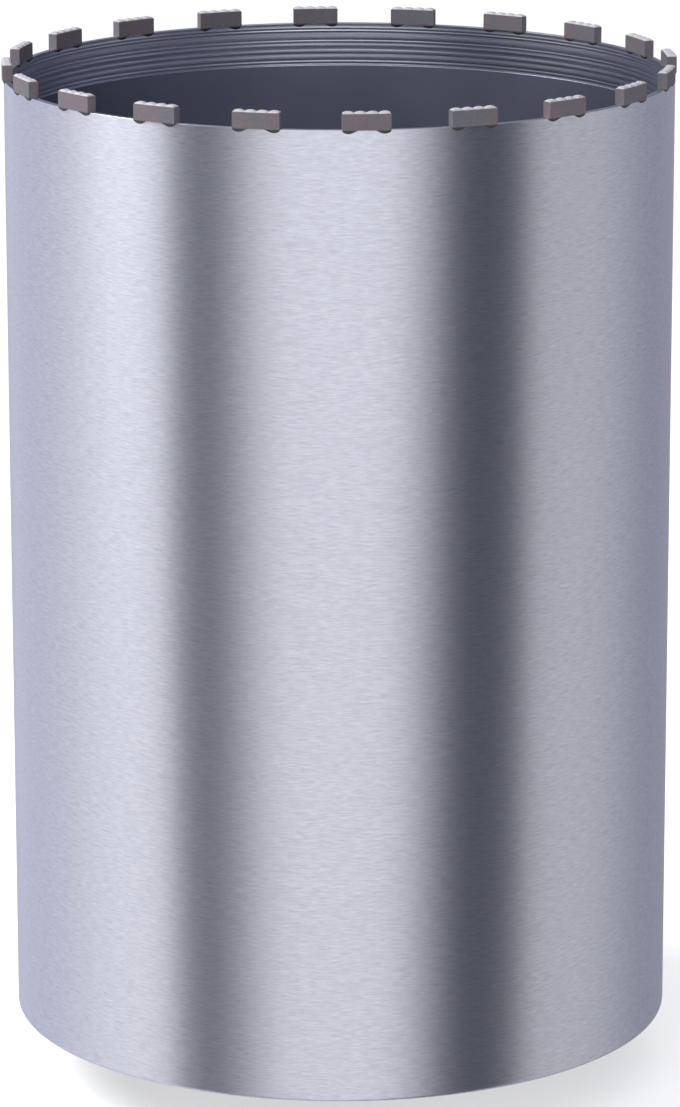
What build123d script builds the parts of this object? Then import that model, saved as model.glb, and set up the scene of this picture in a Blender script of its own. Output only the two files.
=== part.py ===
from build123d import *
import os

# A wet diamond core bit. A steel core tube carries sintered diamond segments on its rim.
# A round plate with a threaded hub is welded in its machine end.
# Millimetres, +Z up from the machine to the cut, origin on the axis at the hub's end face.

# Core tube
tube_diameter = 298.0
tube_wall = 3.0
tube_length = 430.0
tube_edge_chamfer = 1.5  # outer edge of the machine end
relief_depth = 0.4  # the bore is turned true behind the rim, up to a square shoulder
relief_length = 20.0

# End plate
plate_thickness = 10.0
plate_recess = 5.0  # from the tube's end in to the plate's outer face
plate_fit = 0.05  # radial gap between plate and tube

# Hub, for a 1 1/4 inch 7 UNC machine spindle
hub_diameter = 50.0
hub_projection = 30.0  # from the tube's end out to the hub's end face
hub_edge_chamfer = 1.5
flats_width = 41.0
flats_length = 21.0
spigot_diameter = 40.0
spigot_fit = 0.05  # radial gap between spigot and plate
thread_major_diameter = 31.75
thread_minor_diameter = 27.86

# Weld beads, measured along each leg
tube_weld_leg = 4.0
hub_weld_leg = 5.0

# Segments
segment_count = 20
first_segment_angle = 4.4
segment_length = 20.6
segment_thickness = 4.4
segment_overhang = 1.0  # outside the tube's wall
segment_height = 7.8  # above the rim, to the top of the humps
hump_count = 4
hump_height = 0.7
crown_corner_chamfer = 0.6
foot_length = 6.2
foot_depth = 1.7  # below the rim
foot_corner_chamfer = 0.9
arch_rise = 1.1  # from the feet's soles up to the middle of the arch

# Levels
tube_end_z = hub_projection
plate_outer_z = tube_end_z + plate_recess
plate_inner_z = plate_outer_z + plate_thickness
rim_z = tube_end_z + tube_length
sole_z = rim_z - foot_depth
crown_z = rim_z + segment_height
valley_z = crown_z - hump_height

# Radii
tube_radius = tube_diameter / 2
bore_radius = tube_radius - tube_wall
rim_bore_radius = bore_radius + relief_depth
plate_radius = bore_radius - plate_fit
hub_radius = hub_diameter / 2
spigot_radius = spigot_diameter / 2
thread_radius = thread_minor_diameter / 2
mouth_chamfer = (thread_major_diameter - thread_minor_diameter) / 2
segment_outer_radius = tube_radius + segment_overhang
segment_inner_radius = segment_outer_radius - segment_thickness

# The side view is drawn just inside the bore, and taken straight out through the wall.
side_plane = Plane.YZ.offset(segment_inner_radius - segment_thickness)
side_reach = 3 * segment_thickness

# The end view is drawn at -X, so that the seam of its ring stays clear of the segment.
far_side = Plane(origin=(0, 0, 0), x_dir=(-1, 0, 0), z_dir=(0, 1, 0))


def hump_outline(left, right):
    """Draws the row of humps along the crown, from the left end to the right."""
    pitch = (right - left) / hump_count
    for hump in range(hump_count):
        start = left + hump * pitch
        ThreePointArc((start, valley_z), (start + pitch / 2, crown_z), (start + pitch, valley_z))


def fillet_weld(corner_radius, leg, outward):
    """Makes the bead in the corner between a round wall and the plate's outer face.

    outward is 1 where the plate lies outside the wall, and -1 where it lies inside.
    """
    with BuildPart() as bead:
        with BuildSketch(Plane.XZ):
            with BuildLine():
                Polyline(
                    (corner_radius, plate_outer_z),
                    (corner_radius + outward * leg, plate_outer_z),
                    (corner_radius, plate_outer_z - leg),
                    close=True,
                )
            make_face()
        revolve(axis=Axis.Z)
    return bead.part


# Segment, on the +X side, cut from its plan, its side view and its end view.
# Below the rim its feet taper from the segment's faces in to the faces of the tube's wall.
half_length = segment_length / 2
arch_half = half_length - foot_length
with BuildPart() as segment:
    with BuildSketch(Plane.XY.offset(sole_z)):
        Circle(segment_outer_radius)
        Circle(segment_inner_radius, mode=Mode.SUBTRACT)
        with Locations((segment_outer_radius, 0)):
            Rectangle(segment_outer_radius, segment_length, mode=Mode.INTERSECT)
    extrude(amount=crown_z - sole_z)

    with BuildSketch(side_plane) as side_view:
        with BuildLine():
            Line((-half_length, valley_z), (-half_length, sole_z))
            Line((-half_length, sole_z), (-arch_half, sole_z))
            ThreePointArc((-arch_half, sole_z), (0, sole_z + arch_rise), (arch_half, sole_z))
            Line((arch_half, sole_z), (half_length, sole_z))
            Line((half_length, sole_z), (half_length, valley_z))
            hump_outline(-half_length, half_length)
        make_face()
        soles = side_view.vertices().group_by(Axis.Y)[0].sort_by(Axis.X)
        chamfer([soles[0], soles[-1]], length=foot_corner_chamfer)
        crown = side_view.vertices().group_by(Axis.Y)[-1].sort_by(Axis.X)
        chamfer([crown[0], crown[-1]], length=crown_corner_chamfer)
    extrude(amount=side_reach, mode=Mode.INTERSECT)

    with BuildSketch(far_side):
        with BuildLine():
            Polyline(
                (rim_bore_radius, sole_z),
                (tube_radius, sole_z),
                (segment_outer_radius, rim_z),
                (segment_outer_radius, crown_z),
                (segment_inner_radius, crown_z),
                (segment_inner_radius, rim_z),
                close=True,
            )
        make_face()
    revolve(axis=Axis.Z, mode=Mode.INTERSECT)

# Notch, the side view of a segment taken through the tube's wall.
with BuildPart() as notch:
    extrude(side_view.sketch, amount=side_reach, dir=side_plane.z_dir)

# Core tube, with a notch under each segment. Its section is drawn halfway between two segments.
seam_side = Vector(1, 0, 0).rotate(Axis.Z, first_segment_angle - 180 / segment_count)
between_segments = Plane(origin=(0, 0, 0), x_dir=seam_side, z_dir=seam_side.cross(Vector(0, 0, 1)))
with BuildPart() as core_tube:
    with BuildSketch(between_segments) as tube_section:
        with BuildLine():
            Polyline(
                (bore_radius, tube_end_z),
                (tube_radius, tube_end_z),
                (tube_radius, rim_z),
                (rim_bore_radius, rim_z),
                (rim_bore_radius, rim_z - relief_length),
                (bore_radius, rim_z - relief_length),
                close=True,
            )
        make_face()
        edge = tube_section.vertices().group_by(Axis.Y)[0].sort_by(Axis.X)[-1]
        chamfer(edge, length=tube_edge_chamfer)
    revolve(axis=Axis.Z)
    with PolarLocations(0, segment_count, start_angle=first_segment_angle):
        add(notch.part, mode=Mode.SUBTRACT)
core_tube.part.label = "core_tube"

# End plate, a disc bored for the hub's spigot.
with BuildPart() as end_plate:
    with BuildSketch(Plane.XY.offset(plate_outer_z)):
        Circle(plate_radius)
        Circle(spigot_radius + spigot_fit, mode=Mode.SUBTRACT)
    extrude(amount=plate_thickness)
end_plate.part.label = "end_plate"

# Hub, a turned boss with a spigot through the plate and two spanner flats.
with BuildPart() as machine_hub:
    with BuildSketch(Plane.XZ):
        with BuildLine():
            Polyline(
                (thread_radius + mouth_chamfer, 0),
                (hub_radius - hub_edge_chamfer, 0),
                (hub_radius, hub_edge_chamfer),
                (hub_radius, plate_outer_z),
                (spigot_radius, plate_outer_z),
                (spigot_radius, plate_inner_z),
                (thread_radius, plate_inner_z),
                (thread_radius, mouth_chamfer),
                close=True,
            )
        make_face()
    revolve(axis=Axis.Z)
    with BuildSketch():
        Rectangle(hub_diameter, hub_diameter)
        Rectangle(hub_diameter, flats_width, mode=Mode.SUBTRACT)
    extrude(amount=flats_length, mode=Mode.SUBTRACT)
machine_hub.part.label = "machine_hub"

# Fillet weld between plate and tube.
with BuildPart() as tube_weld:
    add(fillet_weld(bore_radius, tube_weld_leg, outward=-1))
tube_weld.part.label = "tube_weld"

# Fillet weld between hub and plate.
with BuildPart() as hub_weld:
    add(fillet_weld(hub_radius, hub_weld_leg, outward=1))
hub_weld.part.label = "hub_weld"

os.makedirs("parts", exist_ok=True)
for piece in (core_tube, end_plate, machine_hub, tube_weld, hub_weld):
    export_step(piece.part, f"parts/{piece.part.label}.step")

# The segments, evenly round the rim.
for number in range(segment_count):
    angle = first_segment_angle + number * 360 / segment_count
    with BuildPart() as placed:
        add(segment.part, rotation=(0, 0, angle))
    placed.part.label = f"segment_{number + 1:02d}"
    export_step(placed.part, f"parts/{placed.part.label}.step")
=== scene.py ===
from math import atan2, cos, hypot, pi, radians, sin, sqrt, tan

import bmesh
import bpy
from mathutils import Matrix, Vector, noise


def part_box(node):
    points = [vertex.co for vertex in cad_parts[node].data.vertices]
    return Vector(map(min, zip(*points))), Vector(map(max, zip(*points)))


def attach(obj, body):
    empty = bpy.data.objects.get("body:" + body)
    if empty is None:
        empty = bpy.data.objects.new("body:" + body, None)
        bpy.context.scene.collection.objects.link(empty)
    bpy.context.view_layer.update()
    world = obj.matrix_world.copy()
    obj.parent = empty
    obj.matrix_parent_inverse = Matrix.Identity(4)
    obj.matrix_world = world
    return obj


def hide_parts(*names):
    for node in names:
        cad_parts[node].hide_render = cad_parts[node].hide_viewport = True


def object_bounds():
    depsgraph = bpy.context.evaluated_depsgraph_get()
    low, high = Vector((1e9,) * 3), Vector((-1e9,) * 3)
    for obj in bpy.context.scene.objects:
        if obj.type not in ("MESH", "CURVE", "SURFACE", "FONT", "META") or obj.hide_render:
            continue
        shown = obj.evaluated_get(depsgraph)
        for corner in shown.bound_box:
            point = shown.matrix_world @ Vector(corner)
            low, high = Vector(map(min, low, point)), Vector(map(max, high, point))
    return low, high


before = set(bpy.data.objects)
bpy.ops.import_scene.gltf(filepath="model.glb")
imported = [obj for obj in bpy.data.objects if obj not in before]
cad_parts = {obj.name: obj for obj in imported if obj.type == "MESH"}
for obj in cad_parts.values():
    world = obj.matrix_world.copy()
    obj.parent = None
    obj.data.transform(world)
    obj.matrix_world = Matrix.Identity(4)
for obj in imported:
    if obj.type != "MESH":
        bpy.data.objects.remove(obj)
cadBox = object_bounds()
mm = 0.001

# Levels and radii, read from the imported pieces
tubeLow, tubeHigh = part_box("core_tube")
plateLow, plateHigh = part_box("end_plate")
hubLow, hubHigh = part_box("machine_hub")
firstLow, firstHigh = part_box("segment_01")
tubeRadius, tubeEndZ, rimZ = tubeHigh.x, tubeLow.z, tubeHigh.z
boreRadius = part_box("tube_weld")[1].x
plateOuterZ, plateInnerZ = plateLow.z, plateHigh.z
hubRadius, hubEndZ = hubHigh.x, hubLow.z
soleZ, crownZ = firstLow.z, firstHigh.z
segmentNames = sorted(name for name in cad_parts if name.startswith("segment_"))
segmentRadius = cadBox[1].x

# Camera. The picture's height and the focal length are in pixels, the sensor is in
# millimetres and the angles are in degrees.
view = {
    "pictureHeight": 1107,
    "sensor": 36.0,
    "focalLength": 5432.9,
    "distance": 2392.3 * mm,
    "heightOverTubeEnd": 817.7 * mm,
    "pitch": 14.26,
    "roll": 0.064,
    "clipStart": 0.1,
    "clipEnd": 50.0,
}


def deselectAll():
    if bpy.context.object and bpy.context.object.mode != "OBJECT":
        bpy.ops.object.mode_set(mode="OBJECT")
    bpy.ops.object.select_all(action="DESELECT")


def makeCamera():
    deselectAll()
    bpy.ops.object.camera_add(location=(0, -view["distance"], tubeEndZ + view["heightOverTubeEnd"]))
    camera = bpy.context.object
    camera.name = "camera"
    camera.data.sensor_width = view["sensor"]
    camera.data.lens = view["focalLength"] * view["sensor"] / view["pictureHeight"]
    camera.data.clip_start = view["clipStart"]
    camera.data.clip_end = view["clipEnd"]
    tilt = Matrix.Rotation(radians(90 - view["pitch"]), 4, "X")
    roll = Matrix.Rotation(radians(-view["roll"]), 4, "Z")
    camera.matrix_world = Matrix.Translation(camera.location) @ tilt @ roll
    bpy.context.scene.camera = camera


makeCamera()
print("camera made")


# Node tree helpers
def addNode(tree, kind, values=None, **settings):
    node = tree.nodes.new(kind)
    for key, value in settings.items():
        setattr(node, key, value)
    for key, value in (values or {}).items():
        node.inputs[key].default_value = value
    return node


def joinNodes(tree, *pairs):
    for source, target in pairs:
        tree.links.new(source, target)


def multiply(tree, value, factor):
    node = addNode(tree, "ShaderNodeMath", {1: factor}, operation="MULTIPLY")
    tree.links.new(value, node.inputs[0])
    return node.outputs[0]


def smoothBand(tree, value, low, high):
    node = addNode(
        tree, "ShaderNodeMapRange", {"From Min": low, "From Max": high}, interpolation_type="SMOOTHSTEP"
    )
    tree.links.new(value, node.inputs["Value"])
    return node.outputs["Result"]


def bothOf(tree, first, second):
    node = addNode(tree, "ShaderNodeMath", operation="MULTIPLY")
    joinNodes(tree, (first, node.inputs[0]), (second, node.inputs[1]))
    return node.outputs[0]


def feed(tree, value, socket):
    # a socket takes a link from another node, a colour or a number
    if isinstance(value, bpy.types.NodeSocket):
        tree.links.new(value, socket)
    elif isinstance(value, tuple):
        socket.default_value = (*value, 1)
    else:
        socket.default_value = value


def blendColour(tree, mask, before, after, blend="MIX"):
    # the node has sockets of the same name for other kinds of value, so these go by number
    mix = addNode(tree, "ShaderNodeMix", data_type="RGBA", blend_type=blend)
    feed(tree, mask, mix.inputs[0])
    feed(tree, before, mix.inputs[6])
    feed(tree, after, mix.inputs[7])
    return mix.outputs[2]


# Studio: a pale room with two dark flags, one on each side of the camera, and a soft box
# over it. Bearings are in degrees round the bit from the camera's side, positive to its
# right, and a height is the upward part of a direction. Each edge is a span of bearings
# and the colour of the room past it.
studio = {
    "back": (0.50, 0.52, 0.60),
    "edges": [
        (-178, -158, (0.74, 0.755, 0.87)),
        (-138, -84, (1.02, 1.02, 1.02)),
        (-65, -57, (0.09, 0.095, 0.12)),
        (-50, -17, (0.95, 0.95, 0.95)),
        (14, 43.5, (0.06, 0.065, 0.085)),
        (62, 73, (0.74, 0.74, 0.74)),
        (90, 140, (0.38, 0.39, 0.46)),
        (158, 178, (0.50, 0.52, 0.60)),
    ],
    "sides": {"bearing": (20, 60), "height": (0.0, 0.25), "colour": (0.13, 0.14, 0.18)},
    "softbox": {
        "bearing": (42, 24),
        "foot": (0.05, 0.25),
        "head": (0.85, 0.60),
        "colour": (1.85, 1.85, 1.90),
    },
    "overhead": {"height": (0.6, 0.95), "colour": (0.70, 0.70, 0.72)},
}

ground = {"size": 30.0, "colour": 0.9, "glow": 0.50, "roughness": 0.8}

keyLight = {"place": (-1.75, -0.12, 1.75), "size": 1.2, "power": 42.0}


def makeWorld():
    world = bpy.data.worlds.new("studio")
    bpy.context.scene.world = world
    world.use_nodes = True
    tree = world.node_tree
    tree.nodes.clear()
    direction = addNode(tree, "ShaderNodeTexCoord").outputs["Generated"]
    split = addNode(tree, "ShaderNodeSeparateXYZ")
    turn = addNode(tree, "ShaderNodeMath", operation="ARCTAN2")
    joinNodes(
        tree,
        (direction, split.inputs[0]),
        (split.outputs["X"], turn.inputs[0]),
        (multiply(tree, split.outputs["Y"], -1.0), turn.inputs[1]),
    )
    bearing = multiply(tree, turn.outputs[0], 180 / pi)
    colour = studio["back"]
    for start, end, after in studio["edges"]:
        colour = blendColour(tree, smoothBand(tree, bearing, start, end), colour, after)
    # above the horizon the room is dark at the sides
    sides = studio["sides"]
    aside = addNode(tree, "ShaderNodeMath", operation="ABSOLUTE")
    tree.links.new(bearing, aside.inputs[0])
    past = smoothBand(tree, aside.outputs[0], *sides["bearing"])
    above = smoothBand(tree, split.outputs["Z"], *sides["height"])
    colour = blendColour(tree, bothOf(tree, past, above), colour, sides["colour"])
    # a soft box hangs over the camera
    softbox = studio["softbox"]
    ahead = smoothBand(tree, aside.outputs[0], *softbox["bearing"])
    foot = smoothBand(tree, split.outputs["Z"], *softbox["foot"])
    head = smoothBand(tree, split.outputs["Z"], *softbox["head"])
    panel = bothOf(tree, ahead, bothOf(tree, foot, head))
    colour = blendColour(tree, panel, colour, softbox["colour"])
    overhead = studio["overhead"]
    up = smoothBand(tree, split.outputs["Z"], *overhead["height"])
    colour = blendColour(tree, up, colour, overhead["colour"])
    # the camera itself sees plain white
    seen = addNode(tree, "ShaderNodeLightPath").outputs["Is Camera Ray"]
    colour = blendColour(tree, seen, colour, (1.0, 1.0, 1.0))
    background = addNode(tree, "ShaderNodeBackground")
    output = addNode(tree, "ShaderNodeOutputWorld")
    joinNodes(tree, (colour, background.inputs["Color"]), (background.outputs[0], output.inputs[0]))


def makeGround():
    deselectAll()
    bpy.ops.mesh.primitive_plane_add(size=ground["size"], location=(0, 0, hubEndZ))
    plane = bpy.context.object
    plane.name = "ground"
    plane.visible_glossy = False  # the steel mirrors the room instead
    material = bpy.data.materials.new("paleGround")
    material.use_nodes = True
    tree = material.node_tree
    shader = tree.nodes["Principled BSDF"]
    shader.inputs["Base Color"].default_value = (*[ground["colour"]] * 3, 1)
    shader.inputs["Roughness"].default_value = ground["roughness"]
    shader.inputs["Emission Color"].default_value = (1, 1, 1, 1)
    seen = addNode(tree, "ShaderNodeLightPath").outputs["Is Camera Ray"]
    tree.links.new(multiply(tree, seen, ground["glow"]), shader.inputs["Emission Strength"])
    # seen from below it is clear, so that the machine end shows
    under = addNode(tree, "ShaderNodeNewGeometry").outputs["Backfacing"]
    clear = addNode(tree, "ShaderNodeBsdfTransparent")
    choice = addNode(tree, "ShaderNodeMixShader")
    joinNodes(
        tree,
        (under, choice.inputs[0]),
        (shader.outputs[0], choice.inputs[1]),
        (clear.outputs[0], choice.inputs[2]),
        (choice.outputs[0], tree.nodes["Material Output"].inputs[0]),
    )
    plane.data.materials.append(material)


def makeKeyLight():
    deselectAll()
    bpy.ops.object.light_add(type="AREA", location=keyLight["place"])
    lamp = bpy.context.object
    lamp.name = "keyLight"
    lamp.data.energy = keyLight["power"]
    lamp.data.shape = "DISK"
    lamp.data.size = keyLight["size"]
    aim = Vector((0, 0, rimZ)) - lamp.location
    lamp.rotation_euler = aim.to_track_quat("-Z", "Y").to_euler()


bpy.context.scene.view_settings.view_transform = "Standard"
makeWorld()
makeGround()
makeKeyLight()
print("studio made")


# Modelling helpers
near = 1e-6  # two points nearer than this are the same
facing = 0.9  # a face whose normal has this much of an axis faces along it
runShare = 0.6  # and an edge with this share of its length along an axis runs along it


def pick(mesh, wanted, kind="verts"):
    # selects the vertices, edges or faces that the rule wants, in the piece being edited
    mode = {"verts": "VERT", "edges": "EDGE", "faces": "FACE"}[kind]
    bpy.ops.mesh.select_mode(type=mode)
    bpy.ops.mesh.select_all(action="DESELECT")
    form = bmesh.from_edit_mesh(mesh)
    for element in getattr(form, kind):
        if wanted(element):
            element.select_set(True)
    form.select_flush_mode()
    bmesh.update_edit_mesh(mesh)


def shift(piece, wanted, move):
    pick(piece.data, wanted)
    bpy.ops.transform.translate(value=move)


def makeActive(piece):
    deselectAll()
    piece.select_set(True)
    bpy.context.view_layer.objects.active = piece


def applyModifier(piece, kind, **settings):
    makeActive(piece)
    modifier = piece.modifiers.new(kind.lower(), kind)
    for key, value in settings.items():
        setattr(modifier, key, value)
    bpy.ops.object.modifier_apply(modifier=modifier.name)


def cutAway(piece, cutter):
    applyModifier(piece, "BOOLEAN", operation="DIFFERENCE", solver="EXACT", object=cutter)
    bpy.data.objects.remove(cutter)


def turnedRing(name, stations, sides):
    # a circle drawn out from station to station, each a radius and a height, and closed
    deselectAll()
    radius, height = stations[0]
    bpy.ops.mesh.primitive_circle_add(vertices=sides, radius=radius, location=(0, 0, height))
    ring = bpy.context.object
    ring.name = name
    bpy.ops.object.transform_apply(location=True, rotation=True, scale=True)
    bpy.ops.object.mode_set(mode="EDIT")
    bpy.ops.mesh.select_all(action="SELECT")
    for newRadius, newHeight in stations[1:] + stations[:1]:
        rise = (0, 0, newHeight - height)
        bpy.ops.mesh.extrude_region_move(TRANSFORM_OT_translate={"value": rise})
        scale = newRadius / radius
        bpy.ops.transform.resize(value=(scale, scale, 1), center_override=(0, 0, newHeight))
        radius, height = newRadius, newHeight
    bpy.ops.mesh.select_all(action="SELECT")
    bpy.ops.mesh.remove_doubles(threshold=near)
    bpy.ops.mesh.normals_make_consistent(inside=False)
    bpy.ops.object.mode_set(mode="OBJECT")
    return ring


def place(piece, node, materials, smoothAngle):
    # finishes a piece that stands for a CAD node
    for material in materials:
        piece.data.materials.append(material)
    makeActive(piece)
    bpy.ops.object.shade_smooth_by_angle(angle=radians(smoothAngle))
    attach(piece, "root")
    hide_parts(node)


# Segments, modelled once at +X. Rows are cut across the edges whose length is in a range.
segment = {
    "length": 20.6 * mm,
    "thickness": 4.4 * mm,
    "humps": 4,
    "humpHeight": 0.7 * mm,
    "shoulder": 0.9 * mm,  # from the crown down, and in from each face
    "crownRound": 0.3 * mm,
    "crownCorner": 0.5 * mm,
    "footLength": 7.4 * mm,
    "footDeepest": 2.7 * mm,  # from the segment's end
    "footEnd": 0.45 * mm,
    "footLeast": 0.06 * mm,
    "stations": 71,
    "blockRows": {"cuts": 19, "between": (3 * mm, 9 * mm)},
    "footRows": {"cuts": 4, "between": (0.4 * mm, 1.8 * mm)},
    "crossRows": {"cuts": 9, "between": (1 * mm, 5 * mm)},
    "edgeRound": 0.08 * mm,
    "edgeAngle": 62,  # edges that turn more than this are rounded
    "roundSteps": 2,
    "setIn": 0.07 * mm,  # toward the axis, so that no corner stands past the CAD's outline
    "grainSize": 0.5 * mm,
    "grainDetail": 2,
    "grainDepth": 0.05 * mm,
    "smoothAngle": 35,
}
firstMiddle = (firstLow + firstHigh) / 2
firstTurn = atan2(firstMiddle.y, firstMiddle.x)
segmentPitch = 2 * pi / len(segmentNames)
halfLength = segment["length"] / 2
stationReach = 10 * near  # a point within this of a station is on it


def archOver(offset, half, rise):
    # height of a round arch at a distance from its middle
    radius = (half * half + rise * rise) / (2 * rise)
    return sqrt(radius * radius - offset * offset) - (radius - rise)


def cornerFall(along, radius):
    # how far a rounded end corner has fallen away
    reach = max(radius - (halfLength - along), 0.0)
    return radius - sqrt(max(radius * radius - reach * reach, 0.0))


def crownRise(along):
    half = halfLength / segment["humps"]
    offset = (along + halfLength) % (2 * half) - half
    return archOver(offset, half, segment["humpHeight"]) - cornerFall(along, segment["crownCorner"])


def soleRise(along):
    # a foot is round at the segment's end and runs out gently toward its middle
    fromEnd, deepest = halfLength - along, segment["footDeepest"]
    if fromEnd < deepest:
        depth = sqrt(max(1 - (1 - fromEnd / deepest) ** 2, 0.0))
        least = segment["footEnd"]
    else:
        share = min((fromEnd - deepest) / (segment["footLength"] - deepest), 1.0)
        depth = 0.5 + 0.5 * cos(pi * share)
        least = segment["footLeast"]
    whole = rimZ - soleZ
    return min(whole * (1 - depth), whole - least)


def stationsOf(cuts):
    # distances from the middle, each of which stands for both sides of it
    steps = range((cuts + 1) // 2 + 1)
    return [abs(halfLength - 2 * halfLength * step / (cuts + 1)) for step in steps]


def longBlock(name, inner, outer, high, cuts):
    # a block across +X, cut into stations along its length and arched under
    deselectAll()
    bpy.ops.mesh.primitive_cube_add(
        size=1,
        location=((inner + outer) / 2, 0, (soleZ + high) / 2),
        scale=(outer - inner, segment["length"], high - soleZ),
    )
    block = bpy.context.object
    block.name = name
    bpy.ops.object.transform_apply(location=True, rotation=True, scale=True)
    bpy.ops.object.mode_set(mode="EDIT")
    pick(block.data, lambda edge: abs(edge.verts[0].co.y - edge.verts[1].co.y) > near, "edges")
    bpy.ops.mesh.subdivide(number_cuts=cuts)
    for along in stationsOf(cuts):
        shift(block, lambda v: atStation(v, along) and v.co.z < soleZ + near, (0, 0, soleRise(along)))
    return block


def atStation(vertex, along):
    return abs(abs(vertex.co.y) - along) < stationReach


def modelSegment():
    blockInner = segmentRadius - segment["thickness"]
    middle = (blockInner + segmentRadius) / 2
    shoulderZ, valleyZ = crownZ - segment["shoulder"], crownZ - segment["humpHeight"]
    block = longBlock("segment", blockInner, segmentRadius, shoulderZ, segment["stations"])
    bpy.ops.mesh.select_all(action="SELECT")
    bpy.ops.mesh.bisect(plane_co=(0, 0, rimZ), plane_no=(0, 0, 1))
    # the crown, drawn up and in from a straight shoulder
    pick(block.data, lambda face: face.normal.z > facing, "faces")
    rise = (0, 0, valleyZ - shoulderZ)
    bpy.ops.mesh.extrude_region_move(TRANSFORM_OT_translate={"value": rise})
    narrowed = 1 - 2 * segment["shoulder"] / segment["thickness"]
    bpy.ops.transform.resize(value=(narrowed, 1, 1), center_override=(middle, 0, valleyZ))
    for along in stationsOf(segment["stations"]):
        shapeStation(block, along, middle, shoulderZ, valleyZ)
    pick(block.data, lambda edge: isCrownLine(edge, middle, shoulderZ), "edges")
    bpy.ops.mesh.bevel(offset=segment["crownRound"], segments=segment["roundSteps"])
    cutRows(block, "z", segment["blockRows"])
    cutRows(block, "z", segment["footRows"])
    cutRows(block, "x", segment["crossRows"])
    for along in stationsOf(segment["stations"]):
        sag = sqrt(segmentRadius**2 - along**2) - segmentRadius - segment["setIn"]
        shift(block, lambda v: atStation(v, along), (sag, 0, 0))
    bpy.ops.object.mode_set(mode="OBJECT")
    applyModifier(
        block,
        "BEVEL",
        width=segment["edgeRound"],
        segments=segment["roundSteps"],
        limit_method="ANGLE",
        angle_limit=radians(segment["edgeAngle"]),
        miter_outer="MITER_ARC",
    )
    return block


def shapeStation(block, along, middle, shoulderZ, valleyZ):
    # a foot narrows from the block's faces at the rim to the wall's faces at the sole
    foot = 1 - soleRise(along) / (rimZ - soleZ)
    wallInner = tubeRadius - tube["rimWall"]
    outward = (tubeRadius - segmentRadius) * foot
    inward = (wallInner - (2 * middle - segmentRadius)) * foot
    rise = crownRise(along)

    def isFoot(v, side):
        return atStation(v, along) and v.co.z < rimZ - near and (v.co.x - middle) * side > 0

    shift(block, lambda v: isFoot(v, 1), (outward, 0, 0))
    shift(block, lambda v: isFoot(v, -1), (inward, 0, 0))
    drop = min(0.0, valleyZ + rise - shoulderZ)
    shift(block, lambda v: atStation(v, along) and abs(v.co.z - shoulderZ) < near, (0, 0, drop))
    shift(block, lambda v: atStation(v, along) and abs(v.co.z - valleyZ) < near, (0, 0, rise))


def isCrownLine(edge, middle, shoulderZ):
    # an edge that runs along the crown, between its top and its sloping sides
    first, second = (v.co for v in edge.verts)
    offset = segment["thickness"] / 2 - segment["shoulder"]
    inLine = all(abs(abs(point.x - middle) - offset) < near for point in (first, second))
    return inLine and abs(first.y - second.y) > near


def cutRows(block, axis, rows):
    # cuts the edges that run along one axis and are as long as asked
    shortest, longest = rows["between"]

    def wanted(edge):
        run = edge.verts[1].co - edge.verts[0].co
        along = abs(getattr(run, axis))
        return shortest < along < longest and along > runShare * run.length

    pick(block.data, wanted, "edges")
    bpy.ops.mesh.subdivide(number_cuts=rows["cuts"])


def makeSegments(material):
    grain = bpy.data.textures.new("sinterGrain", "CLOUDS")
    grain.noise_scale = segment["grainSize"]
    grain.noise_depth = segment["grainDetail"]
    model = modelSegment()
    for number, node in enumerate(segmentNames):
        makeActive(model)
        bpy.ops.object.duplicate()
        piece = bpy.context.object
        piece.name = "segment" + node[-2:]
        piece.rotation_euler.z = firstTurn + number * segmentPitch
        bpy.ops.object.transform_apply(location=True, rotation=True, scale=True)
        # at a middle level of 1 the grain only sinks in
        applyModifier(piece, "DISPLACE", texture=grain, strength=segment["grainDepth"], mid_level=1.0)
        place(piece, node, [material], segment["smoothAngle"])
    bpy.data.objects.remove(model)


# Core tube, turned in one ring and notched under each segment
tube = {
    "sides": 480,
    "edgeRadius": 1.5 * mm,
    "edgeSteps": 6,
    "rimWall": 2.6 * mm,
    "rimBreak": 0.15 * mm,
    "reliefLength": 20.0 * mm,
    "outerRing": 10 * mm,  # one more ring of points, this far below the rim
    "innerRing": 40 * mm,  # and one inside, this far above the machine end
    "feed": 2.3 * mm,
    "feedDepth": 0.052 * mm,
    "feedStep": 0.3 * mm,
    "turnShare": 0.8,
    "wander": {"share": 0.6, "length": 3 * mm, "seed": (4.2, 1.1)},
    "chatter": {"share": 0.5, "length": 0.7 * mm, "seed": (0.3, 8.1)},
    "notchStations": 41,
    "notchInside": 8.0 * mm,
    "notchOutside": 4.0 * mm,
    "bandMargin": 1 * mm,  # the turned finish reaches this far past the shoulder
    "smoothAngle": 25,
}


def tubeStations():
    rimInner = tubeRadius - tube["rimWall"]
    corner, edge = tube["rimBreak"], tube["edgeRadius"]
    stations = [(boreRadius, tubeEndZ)]
    for step in range(tube["edgeSteps"] + 1):
        turn = step / tube["edgeSteps"] * pi / 2
        stations.append((tubeRadius - edge * (1 - sin(turn)), tubeEndZ + edge * (1 - cos(turn))))
    stations += [(tubeRadius, rimZ - tube["outerRing"]), (tubeRadius, rimZ - corner)]
    stations += [(tubeRadius - corner, rimZ), (rimInner + corner, rimZ), (rimInner, rimZ - corner)]
    steps = int((tube["reliefLength"] - corner) / tube["feedStep"])
    for step in range(1, steps):
        down = step * tube["feedStep"]
        stations.append((rimInner + feedMark(down), rimZ - corner - down))
    shoulderZ = rimZ - tube["reliefLength"]
    stations += [(rimInner, shoulderZ), (boreRadius, shoulderZ)]
    stations += [(boreRadius, tubeEndZ + tube["innerRing"])]
    return stations


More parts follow.
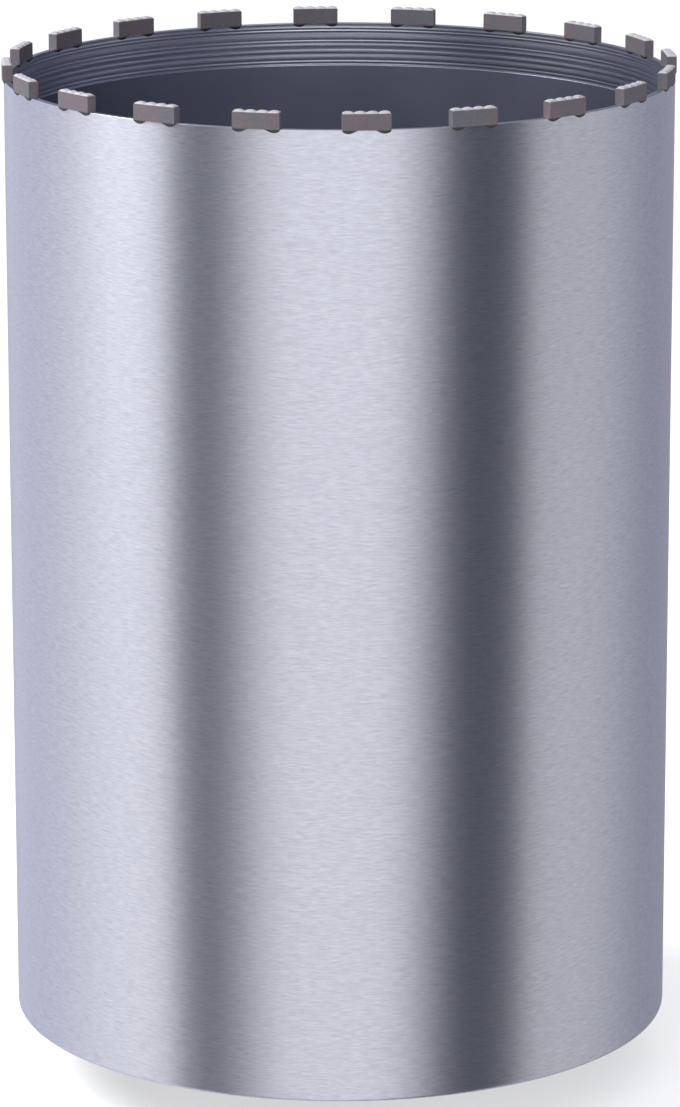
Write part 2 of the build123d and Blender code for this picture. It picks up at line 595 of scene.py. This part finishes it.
def feedMark(down):
    # depth of the turning tool's marks, in turns that wander a little, with some chatter
    wander, chatter = tube["wander"], tube["chatter"]
    drift = noise.noise(Vector((down / wander["length"], *wander["seed"])))
    shake = noise.noise(Vector((down / chatter["length"], *chatter["seed"])))
    turns = sin(2 * pi * (down / tube["feed"] + wander["share"] * drift))
    return tube["feedDepth"] * (tube["turnShare"] * turns + chatter["share"] * shake)


def notchCutter():
    inner, outer = tubeRadius - tube["notchInside"], tubeRadius + tube["notchOutside"]
    block = longBlock("notch", inner, outer, crownZ, tube["notchStations"])
    bpy.ops.object.mode_set(mode="OBJECT")
    copies = []
    for number in range(len(segmentNames)):
        makeActive(block)
        bpy.ops.object.duplicate()
        copy = bpy.context.object
        copy.rotation_euler.z = firstTurn + number * segmentPitch
        bpy.ops.object.transform_apply(location=True, rotation=True, scale=True)
        copies.append(copy)
    bpy.data.objects.remove(block)
    makeActive(copies[0])
    for copy in copies:
        copy.select_set(True)
    bpy.ops.object.join()
    return bpy.context.object


def makeTube(outside, turned, inside):
    piece = turnedRing("coreTube", tubeStations(), tube["sides"])
    cutAway(piece, notchCutter())
    materials = [outside, turned, inside]
    place(piece, "core_tube", materials, tube["smoothAngle"])
    middleWall = (tubeRadius + boreRadius) / 2
    bandFoot = rimZ - tube["reliefLength"] - tube["bandMargin"]
    for face in piece.data.polygons:
        centre = face.center
        finish = turned if centre.z > bandFoot else inside
        if hypot(centre.x, centre.y) > middleWall and abs(face.normal.z) < facing:
            finish = outside
        face.material_index = materials.index(finish)


# Hub, turned, cut for the spanner and threaded
hub = {
    "sides": 192,
    "edge": 1.5 * mm,
    "spigotRadius": 20.0 * mm,
    "flatsWidth": 41.0 * mm,
    "flatsLength": 21.0 * mm,
    "threadPitch": 25.4 / 7 * mm,
    "threadMinor": 13.93 * mm,
    "threadMajor": 15.875 * mm,
    "threadRoot": 1 / 8,  # of the pitch
    "threadHalfAngle": 30,
    "threadSteps": 48,
    "threadInside": 0.6 * mm,  # how far the cutter starts inside the bore
    "threadRunIn": 1.5,  # turns, before the end face
    "threadExtra": 4,  # turns more than the hub is long
    "smoothAngle": 30,
}


def threadCutter():
    # a sixty degree groove, wound up the bore
    pitch, start = hub["threadPitch"], hub["threadMinor"] - hub["threadInside"]
    deselectAll()
    bpy.ops.mesh.primitive_plane_add(size=1, rotation=(pi / 2, 0, 0))
    cutter = bpy.context.object
    cutter.name = "threadCutter"
    reach = hub["threadMajor"] - start
    rootWidth = pitch * hub["threadRoot"]
    mouthWidth = rootWidth + 2 * reach * tan(radians(hub["threadHalfAngle"]))
    startZ = hubEndZ - hub["threadRunIn"] * pitch
    cutter.scale = (reach, mouthWidth, 1)
    cutter.location = (start + reach / 2, 0, startZ)
    bpy.ops.object.transform_apply(location=True, rotation=True, scale=True)
    bpy.ops.object.mode_set(mode="EDIT")
    pick(cutter.data, lambda v: v.co.x > start + reach / 2)
    centre = (hub["threadMajor"], 0, startZ)
    bpy.ops.transform.resize(value=(1, 1, rootWidth / mouthWidth), center_override=centre)
    bpy.ops.mesh.select_all(action="SELECT")
    bpy.ops.mesh.delete(type="ONLY_FACE")
    bpy.ops.object.mode_set(mode="OBJECT")
    turns = int((plateInnerZ - hubEndZ) / pitch) + hub["threadExtra"]
    steps = hub["threadSteps"]
    applyModifier(
        cutter, "SCREW", screw_offset=pitch, iterations=turns, steps=steps, render_steps=steps, axis="Z"
    )
    bpy.ops.object.mode_set(mode="EDIT")
    bpy.ops.mesh.select_all(action="SELECT")
    bpy.ops.mesh.remove_doubles(threshold=near)
    bpy.ops.mesh.fill_holes(sides=4)
    bpy.ops.mesh.normals_make_consistent(inside=False)
    bpy.ops.object.mode_set(mode="OBJECT")
    return cutter


def makeHub(material):
    minor, edge, spigot = hub["threadMinor"], hub["edge"], hub["spigotRadius"]
    mouth = hub["threadMajor"] - minor
    stations = [
        (minor + mouth, hubEndZ),
        (hubRadius - edge, hubEndZ),
        (hubRadius, hubEndZ + edge),
        (hubRadius, plateOuterZ),
        (spigot, plateOuterZ),
        (spigot, plateInnerZ),
        (minor, plateInnerZ),
        (minor, hubEndZ + mouth),
    ]
    piece = turnedRing("machineHub", stations, hub["sides"])
    for side in (-1, 1):
        deselectAll()
        bpy.ops.mesh.primitive_cube_add(
            size=1,
            location=(0, side * (hub["flatsWidth"] / 2 + hubRadius), hubEndZ),
            scale=(4 * hubRadius, 2 * hubRadius, 2 * hub["flatsLength"]),
        )
        bpy.ops.object.transform_apply(location=True, rotation=True, scale=True)
        cutAway(piece, bpy.context.object)
    cutAway(piece, threadCutter())
    place(piece, "machine_hub", [material], hub["smoothAngle"])


# Weld beads, in the corners between the plate and what it meets
weld = {
    "tubeLeg": 4 * mm,
    "hubLeg": 5 * mm,
    "ripple": 3.4 * mm,
    "sidesPerRipple": 4,
    "faceSteps": 6,
    "bulge": 0.5 * mm,
    "depth": 0.45 * mm,
    "lead": 2,  # how many sides the middle of the bead runs ahead
    "smoothAngle": 60,
}


def makeWeld(name, node, corner, leg, outward, material):
    ripples = round(2 * pi * corner / weld["ripple"])
    sides = ripples * weld["sidesPerRipple"]
    stations = [(corner, plateOuterZ)]
    for step in range(weld["faceSteps"] + 1):
        share = step / weld["faceSteps"]
        bulge = weld["bulge"] * sin(pi * share)
        radius = corner + outward * (leg * (1 - share) + bulge)
        stations.append((radius, plateOuterZ - leg * share - bulge))
    piece = turnedRing(name, stations, sides)
    bpy.ops.object.mode_set(mode="EDIT")
    for step in range(1, weld["faceSteps"]):
        radius, height = stations[step + 1]
        lead = round(weld["lead"] * sin(pi * step / weld["faceSteps"]))
        pick(piece.data, lambda v: isRipple(v.co, radius, height, sides, lead))
        bpy.ops.transform.shrink_fatten(value=-weld["depth"])
    bpy.ops.object.mode_set(mode="OBJECT")
    place(piece, node, [material], weld["smoothAngle"])


def isRipple(point, radius, height, sides, lead):
    if abs(point.z - height) > near or abs(hypot(point.x, point.y) - radius) > near:
        return False
    sector = round(atan2(point.y, point.x) / (2 * pi) * sides)
    return (sector + lead) % weld["sidesPerRipple"] == 0


# Finishes. One group draws the fine lines that run round the axis, and soft patches.
lineGroup = {
    "inputs": {"Round": 60.0, "Up": 2000.0, "Detail": 3.0},
    "roughness": 0.6,
    "patchScale": 9.0,
    "patchDetail": 3.0,
}


def makeLineGroup():
    tree = bpy.data.node_groups.new("turnedLines", "ShaderNodeTree")
    for label, value in lineGroup["inputs"].items():
        socket = tree.interface.new_socket(name=label, in_out="INPUT", socket_type="NodeSocketFloat")
        socket.default_value = value
    for label in ("Lines", "Patches"):
        tree.interface.new_socket(name=label, in_out="OUTPUT", socket_type="NodeSocketFloat")
    into, out = tree.nodes.new("NodeGroupInput"), tree.nodes.new("NodeGroupOutput")
    where = addNode(tree, "ShaderNodeTexCoord").outputs["Object"]
    size = addNode(tree, "ShaderNodeCombineXYZ")
    for axis, label in (("X", "Round"), ("Y", "Round"), ("Z", "Up")):
        tree.links.new(into.outputs[label], size.inputs[axis])
    drawn = addNode(tree, "ShaderNodeVectorMath", operation="MULTIPLY")
    lines = addNode(tree, "ShaderNodeTexNoise", {"Scale": 1.0, "Roughness": lineGroup["roughness"]})
    patchValues = {"Scale": lineGroup["patchScale"], "Detail": lineGroup["patchDetail"]}
    patches = addNode(tree, "ShaderNodeTexNoise", patchValues)
    joinNodes(
        tree,
        (where, drawn.inputs[0]),
        (size.outputs[0], drawn.inputs[1]),
        (drawn.outputs[0], lines.inputs["Vector"]),
        (into.outputs["Detail"], lines.inputs["Detail"]),
        (where, patches.inputs["Vector"]),
        (lines.outputs[0], out.inputs["Lines"]),
        (patches.outputs[0], out.inputs["Patches"]),
    )
    return tree


turnedLines = makeLineGroup()


def newMaterial(name, values):
    material = bpy.data.materials.new(name)
    material.use_nodes = True
    shader = material.node_tree.nodes["Principled BSDF"]
    for label, value in values.items():
        shader.inputs[label].default_value = value
    return material, material.node_tree, shader


def ramp(tree, value, low, high, span=(0.3, 0.7)):
    node = addNode(tree, "ShaderNodeValToRGB")
    for element, position, colour in zip(node.color_ramp.elements, span, (low, high)):
        element.position = position
        element.color = (*colour, 1)
    tree.links.new(value, node.inputs[0])
    return node.outputs[0]


def bumpFrom(tree, shader, height, strength, depth):
    bump = addNode(tree, "ShaderNodeBump", {"Strength": strength, "Distance": depth})
    joinNodes(tree, (height, bump.inputs["Height"]), (bump.outputs[0], shader.inputs["Normal"]))


def steel(name, finish):
    # a steel whose lines run round the axis
    values = {"Metallic": finish["metallic"], "Roughness": finish["roughness"]}
    material, tree, shader = newMaterial(name, values)
    lines = addNode(tree, "ShaderNodeGroup")
    lines.node_tree = turnedLines
    for label in lineGroup["inputs"]:
        lines.inputs[label].default_value = finish[label.lower()]
    tone = ramp(tree, lines.outputs[finish["tone"]], finish["low"], finish["high"])
    tree.links.new(tone, shader.inputs["Base Color"])
    bumpFrom(tree, shader, lines.outputs["Lines"], finish["bump"], finish["depth"])
    if finish["anisotropic"]:
        shader.inputs["Anisotropic"].default_value = finish["anisotropic"]
        shader.inputs["Anisotropic Rotation"].default_value = finish["turn"]
        tangent = addNode(tree, "ShaderNodeTangent", direction_type="RADIAL", axis="Z")
        tree.links.new(tangent.outputs[0], shader.inputs["Tangent"])
    return material


brushedFinish = {
    "metallic": 1.0,
    "roughness": 0.34,
    "anisotropic": 0.8,
    "turn": 0.25,
    "round": 200.0,
    "up": 1900.0,
    "detail": 4.0,
    "tone": "Lines",
    "low": (0.525, 0.532, 0.605),
    "high": (0.695, 0.703, 0.79),
    "bump": 0.15,
    "depth": 0.03 * mm,
}

turnedFinish = {
    **brushedFinish,
    "roughness": 0.3,
    "anisotropic": 0.0,
    "round": 14.0,
    "up": 1500.0,
    "detail": 2.0,
    "low": (0.53, 0.54, 0.64),
    "high": (0.84, 0.86, 0.98),
    "bump": 0.4,
    "depth": 0.04 * mm,
}

boreFinish = {
    **brushedFinish,
    "metallic": 0.85,
    "roughness": 0.42,
    "anisotropic": 0.0,
    "round": 18.0,
    "up": 160.0,
    "detail": 3.0,
    "tone": "Patches",
    "low": (0.166, 0.175, 0.238),
    "high": (0.260, 0.273, 0.365),
    "bump": 0.2,
    "depth": 0.1 * mm,
}

plateFinish = {
    **boreFinish,
    "roughness": 0.45,
    "up": 18.0,
    "low": (0.20, 0.205, 0.225),
    "high": (0.34, 0.345, 0.365),
}

weldFinish = {
    **boreFinish,
    "metallic": 0.95,
    "roughness": 0.36,
    "round": 260.0,
    "up": 260.0,
    "low": (0.30, 0.27, 0.27),
    "high": (0.52, 0.51, 0.55),
}

sinterFinish = {
    "blockMetallic": 0.1,
    "footMetallic": 1.0,
    "roughness": 0.62,
    "specular": 0.1,
    "blushScale": 130.0,
    "blushDetail": 2.0,
    "blushSpan": (0.35, 0.62),
    "grey": (0.160, 0.163, 0.188),
    "pink": (0.194, 0.162, 0.178),
    "gritScale": 2600.0,
    "gritDetail": 3.0,
    "gritDark": (0.80, 0.80, 0.80),
    "gritLight": (1.20, 1.20, 1.20),
    # painted highlight: a lighter colour for the crown, where light from above falls
    "crown": (0.58, 0.57, 0.60),
    # the feet's dark colour is partly their smoother metal and partly painted shade under the block's
    # overhang
    "foot": (0.115, 0.118, 0.128),
    "crownHighlightEdge": (-0.1 * mm, 0.15 * mm),  # from the line of the crown's shoulder
    "rimEdge": (-0.35 * mm, 0.1 * mm),  # from the rim, where the block begins
    "faceEdge": (-0.3 * mm, -0.1 * mm),  # from the block's faces
    "bump": 0.35,
    "depth": 0.06 * mm,
}


def bandAbout(tree, value, level, edge):
    return smoothBand(tree, value, level + edge[0], level + edge[1])


def blockMask(tree, split, finish):
    # 1 on the block, 0 on its feet, which lie below the rim and inside the block's faces; the feet's
    # dark colour is partly their own smoother metal and partly painted shade under the block
    flat = addNode(tree, "ShaderNodeCombineXYZ")
    radius = addNode(tree, "ShaderNodeVectorMath", operation="LENGTH")
    half = segment["thickness"] / 2
    offset = addNode(tree, "ShaderNodeMath", {1: segmentRadius - half}, operation="SUBTRACT")
    away = addNode(tree, "ShaderNodeMath", operation="ABSOLUTE")
    upper = bandAbout(tree, split.outputs["Z"], rimZ, finish["rimEdge"])
    most = addNode(tree, "ShaderNodeMath", operation="MAXIMUM")
    joinNodes(
        tree,
        (split.outputs["X"], flat.inputs["X"]),
        (split.outputs["Y"], flat.inputs["Y"]),
        (flat.outputs[0], radius.inputs[0]),
        (radius.outputs["Value"], offset.inputs[0]),
        (offset.outputs[0], away.inputs[0]),
        (bandAbout(tree, away.outputs[0], half, finish["faceEdge"]), most.inputs[0]),
        (upper, most.inputs[1]),
    )
    return most.outputs[0]


def sinteredMetal(finish):
    values = {"Roughness": finish["roughness"], "Specular IOR Level": finish["specular"]}
    material, tree, shader = newMaterial("sinteredMetal", values)
    where = addNode(tree, "ShaderNodeTexCoord").outputs["Object"]
    blushValues = {"Scale": finish["blushScale"], "Detail": finish["blushDetail"]}
    gritValues = {"Scale": finish["gritScale"], "Detail": finish["gritDetail"]}
    blush = addNode(tree, "ShaderNodeTexNoise", blushValues)
    grit = addNode(tree, "ShaderNodeTexNoise", gritValues)
    split = addNode(tree, "ShaderNodeSeparateXYZ")
    for node in (blush, grit, split):
        tree.links.new(where, node.inputs[0])
    block = ramp(tree, blush.outputs[0], finish["grey"], finish["pink"], finish["blushSpan"])
    # painted highlight: the crown, down to the shoulders, gets a lighter colour, as if lit from above
    shoulderZ = crownZ - segment["shoulder"]
    onCrown = bandAbout(tree, split.outputs["Z"], shoulderZ, finish["crownHighlightEdge"])
    crownLit = blendColour(tree, onCrown, block, finish["crown"])
    grain = ramp(tree, grit.outputs[0], finish["gritDark"], finish["gritLight"])
    tinted = blendColour(tree, 1.0, crownLit, grain, "MULTIPLY")
    onBlock = blockMask(tree, split, finish)
    metallic = addNode(tree, "ShaderNodeMix", {2: finish["footMetallic"], 3: finish["blockMetallic"]})
    # the feet take the dark colour: partly their own metal, partly painted shade under the block
    joinNodes(
        tree,
        (blendColour(tree, onBlock, finish["foot"], tinted), shader.inputs["Base Color"]),
        (onBlock, metallic.inputs[0]),
        (metallic.outputs[0], shader.inputs["Metallic"]),
    )
    bumpFrom(tree, shader, grit.outputs[0], finish["bump"], finish["depth"])
    return material


brushedSteel = steel("brushedSteel", brushedFinish)
turnedSteel = steel("turnedSteel", turnedFinish)
boreSteel = steel("boreSteel", boreFinish)
plateSteel = steel("plateSteel", plateFinish)
weldMetal = steel("weldMetal", weldFinish)
print("finishes made")

makeTube(brushedSteel, turnedSteel, boreSteel)
print("core tube notched")
makeSegments(sinteredMetal(sinterFinish))
print("segments placed")

makeHub(turnedSteel)
makeWeld("tubeWeld", "tube_weld", boreRadius, weld["tubeLeg"], -1, weldMetal)
makeWeld("hubWeld", "hub_weld", hubRadius, weld["hubLeg"], 1, weldMetal)
# the plate keeps its CAD mesh
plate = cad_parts["end_plate"]
plate.data.materials.clear()
plate.data.materials.append(plateSteel)
print("machine end made")
